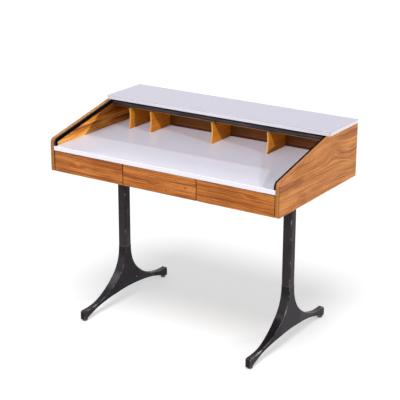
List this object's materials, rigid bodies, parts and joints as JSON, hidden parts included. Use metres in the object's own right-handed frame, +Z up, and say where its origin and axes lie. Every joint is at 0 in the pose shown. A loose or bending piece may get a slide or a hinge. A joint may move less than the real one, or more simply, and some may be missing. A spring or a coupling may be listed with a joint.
{
  "type": "tambour desk",
  "caption": "Writing desk with a sloped tambour cover over pigeonholes, three drawers under a white surface, and two cast T-shaped pedestals.",
  "frame": {"origin": "on the floor under the middle of the case", "axes": "+X to the sitter's right, +Y away from the sitter, +Z up"},
  "size_m": [1.04, 0.606, 0.861],
  "materials": {
    "figured_veneer": "satin oiled veneer",
    "birch_ply": "satin lacquered ply",
    "drawer_ply": "sanded ply",
    "white_laminate": "high gloss laminate",
    "track_plastic": "satin black",
    "tambour_wood": "dark stained, satin",
    "black_tube": "satin enamel",
    "black_casting": "satin enamel on iron, worn on the arrises",
    "plate_steel": "satin enamel",
    "screw_steel": "bright zinc",
    "glide_plastic": "brown moulded",
    "runner_wood": "waxed hardwood"
  },
  "bodies": {
    "case": {"left_side_panel": "figured_veneer", "right_side_panel": "figured_veneer", "left_tambour_track": "track_plastic", "right_tambour_track": "track_plastic", "writing_surface": "white_laminate", "top_deck": "white_laminate", "outer_back_panel": "figured_veneer", "inner_back_panel": "birch_ply", "insert_ceiling": "birch_ply", "divider_1": "birch_ply", "divider_2": "birch_ply", "divider_3": "birch_ply", "divider_4": "birch_ply", "case_bottom": "drawer_ply", "left_partition": "drawer_ply", "right_partition": "drawer_ply", "drawer_runners": "runner_wood", "left_mounting_plate": "plate_steel", "right_mounting_plate": "plate_steel", "left_leg_column": "black_tube", "right_leg_column": "black_tube", "left_cast_foot": "black_casting", "right_cast_foot": "black_casting", "foot_glides": "glide_plastic"},
    "left_drawer": {"left_drawer_front": "figured_veneer", "left_drawer_sides": "drawer_ply", "left_drawer_bottom": "drawer_ply", "left_drawer_back": "drawer_ply"},
    "centre_drawer": {"centre_drawer_front": "figured_veneer", "centre_drawer_sides": "drawer_ply", "centre_drawer_bottom": "drawer_ply", "centre_drawer_back": "drawer_ply"},
    "right_drawer": {"right_drawer_front": "figured_veneer", "right_drawer_sides": "drawer_ply", "right_drawer_bottom": "drawer_ply", "right_drawer_back": "drawer_ply"},
    "lead": {"lead_rail": "tambour_wood", "lead_rail_pins": "screw_steel"},
    "slat_01_body": {"slat_01": "tambour_wood"},
    "slat_02_body": {"slat_02": "tambour_wood"},
    "slat_03_body": {"slat_03": "tambour_wood"},
    "slat_04_body": {"slat_04": "tambour_wood"},
    "slat_05_body": {"slat_05": "tambour_wood"},
    "slat_06_body": {"slat_06": "tambour_wood"},
    "slat_07_body": {"slat_07": "tambour_wood"},
    "slat_08_body": {"slat_08": "tambour_wood"},
    "slat_09_body": {"slat_09": "tambour_wood"},
    "slat_10_body": {"slat_10": "tambour_wood"},
    "slat_11_body": {"slat_11": "tambour_wood"},
    "slat_12_body": {"slat_12": "tambour_wood"},
    "slat_13_body": {"slat_13": "tambour_wood"},
    "slat_14_body": {"slat_14": "tambour_wood"},
    "slat_15_body": {"slat_15": "tambour_wood"},
    "slat_16_body": {"slat_16": "tambour_wood"}
  },
  "joints": [
    {"name": "left_drawer_slide", "type": "slide", "parent": "case", "child": "left_drawer", "axis": [0, -1, 0], "range_m": [0, 0.38]},
    {"name": "centre_drawer_slide", "type": "slide", "parent": "case", "child": "centre_drawer", "axis": [0, -1, 0], "range_m": [0, 0.38]},
    {"name": "right_drawer_slide", "type": "slide", "parent": "case", "child": "right_drawer", "axis": [0, -1, 0], "range_m": [0, 0.38]},
    {"name": "tambour_slide", "type": "slide", "parent": "case", "child": "lead", "axis": [0, -0.9755, -0.2198], "range_m": [0, 0.3721]},
    {"name": "slat_01_turn", "type": "hinge", "parent": "case", "child": "slat_01_body", "pos_m": [0, 0.2662, -0.79764], "axis": [1, 0, 0], "range_deg": [0, 12.7]},
    {"name": "slat_02_turn", "type": "hinge", "parent": "case", "child": "slat_02_body", "pos_m": [0, 0.2614, -0.75449], "axis": [1, 0, 0], "range_deg": [0, 12.7]},
    {"name": "slat_03_turn", "type": "hinge", "parent": "case", "child": "slat_03_body", "pos_m": [0, 0.25659, -0.71134], "axis": [1, 0, 0], "range_deg": [0, 12.7]},
    {"name": "slat_04_turn", "type": "hinge", "parent": "case", "child": "slat_04_body", "pos_m": [0, 0.25179, -0.66819], "axis": [1, 0, 0], "range_deg": [0, 12.7]},
    {"name": "slat_05_turn", "type": "hinge", "parent": "case", "child": "slat_05_body", "pos_m": [0, 0.24699, -0.62504], "axis": [1, 0, 0], "range_deg": [0, 12.7]},
    {"name": "slat_06_turn", "type": "hinge", "parent": "case", "child": "slat_06_body", "pos_m": [0, 0.24219, -0.58188], "axis": [1, 0, 0], "range_deg": [0, 12.7]},
    {"name": "slat_07_turn", "type": "hinge", "parent": "case", "child": "slat_07_body", "pos_m": [0, 0.23739, -0.53873], "axis": [1, 0, 0], "range_deg": [0, 12.7]},
    {"name": "slat_08_turn", "type": "hinge", "parent": "case", "child": "slat_08_body", "pos_m": [0, 0.23259, -0.49558], "axis": [1, 0, 0], "range_deg": [0, 12.7]},
    {"name": "slat_09_turn", "type": "hinge", "parent": "case", "child": "slat_09_body", "pos_m": [0, 0.22778, -0.45243], "axis": [1, 0, 0], "range_deg": [0, 12.7]},
    {"name": "slat_10_turn", "type": "hinge", "parent": "case", "child": "slat_10_body", "pos_m": [0, 0.22298, -0.40927], "axis": [1, 0, 0], "range_deg": [0, 12.7]},
    {"name": "slat_11_turn", "type": "hinge", "parent": "case", "child": "slat_11_body", "pos_m": [0, 0.21818, -0.36612], "axis": [1, 0, 0], "range_deg": [0, 12.7]},
    {"name": "slat_12_turn", "type": "hinge", "parent": "case", "child": "slat_12_body", "pos_m": [0, 0.21338, -0.32297], "axis": [1, 0, 0], "range_deg": [0, 12.7]},
    {"name": "slat_13_turn", "type": "hinge", "parent": "case", "child": "slat_13_body", "pos_m": [0, 0.20858, -0.27982], "axis": [1, 0, 0], "range_deg": [0, 12.7]},
    {"name": "slat_14_turn", "type": "hinge", "parent": "case", "child": "slat_14_body", "pos_m": [0, 0.20378, -0.23667], "axis": [1, 0, 0], "range_deg": [0, 12.7]},
    {"name": "slat_15_turn", "type": "hinge", "parent": "case", "child": "slat_15_body", "pos_m": [0, 0.19897, -0.19351], "axis": [1, 0, 0], "range_deg": [0, 12.7]},
    {"name": "slat_16_turn", "type": "hinge", "parent": "case", "child": "slat_16_body", "pos_m": [0, 0.19417, -0.15036], "axis": [1, 0, 0], "range_deg": [0, 12.7]}
  ],
  "couplings": [
    {"joint": "slat_01_turn", "follows": "tambour_slide", "rad_per_m": 0.59562},
    {"joint": "slat_02_turn", "follows": "tambour_slide", "rad_per_m": 0.59562},
    {"joint": "slat_03_turn", "follows": "tambour_slide", "rad_per_m": 0.59562},
    {"joint": "slat_04_turn", "follows": "tambour_slide", "rad_per_m": 0.59562},
    {"joint": "slat_05_turn", "follows": "tambour_slide", "rad_per_m": 0.59562},
    {"joint": "slat_06_turn", "follows": "tambour_slide", "rad_per_m": 0.59562},
    {"joint": "slat_07_turn", "follows": "tambour_slide", "rad_per_m": 0.59562},
    {"joint": "slat_08_turn", "follows": "tambour_slide", "rad_per_m": 0.59562},
    {"joint": "slat_09_turn", "follows": "tambour_slide", "rad_per_m": 0.59562},
    {"joint": "slat_10_turn", "follows": "tambour_slide", "rad_per_m": 0.59562},
    {"joint": "slat_11_turn", "follows": "tambour_slide", "rad_per_m": 0.59562},
    {"joint": "slat_12_turn", "follows": "tambour_slide", "rad_per_m": 0.59562},
    {"joint": "slat_13_turn", "follows": "tambour_slide", "rad_per_m": 0.59562},
    {"joint": "slat_14_turn", "follows": "tambour_slide", "rad_per_m": 0.59562},
    {"joint": "slat_15_turn", "follows": "tambour_slide", "rad_per_m": 0.59562},
    {"joint": "slat_16_turn", "follows": "tambour_slide", "rad_per_m": 0.59562}
  ]
}
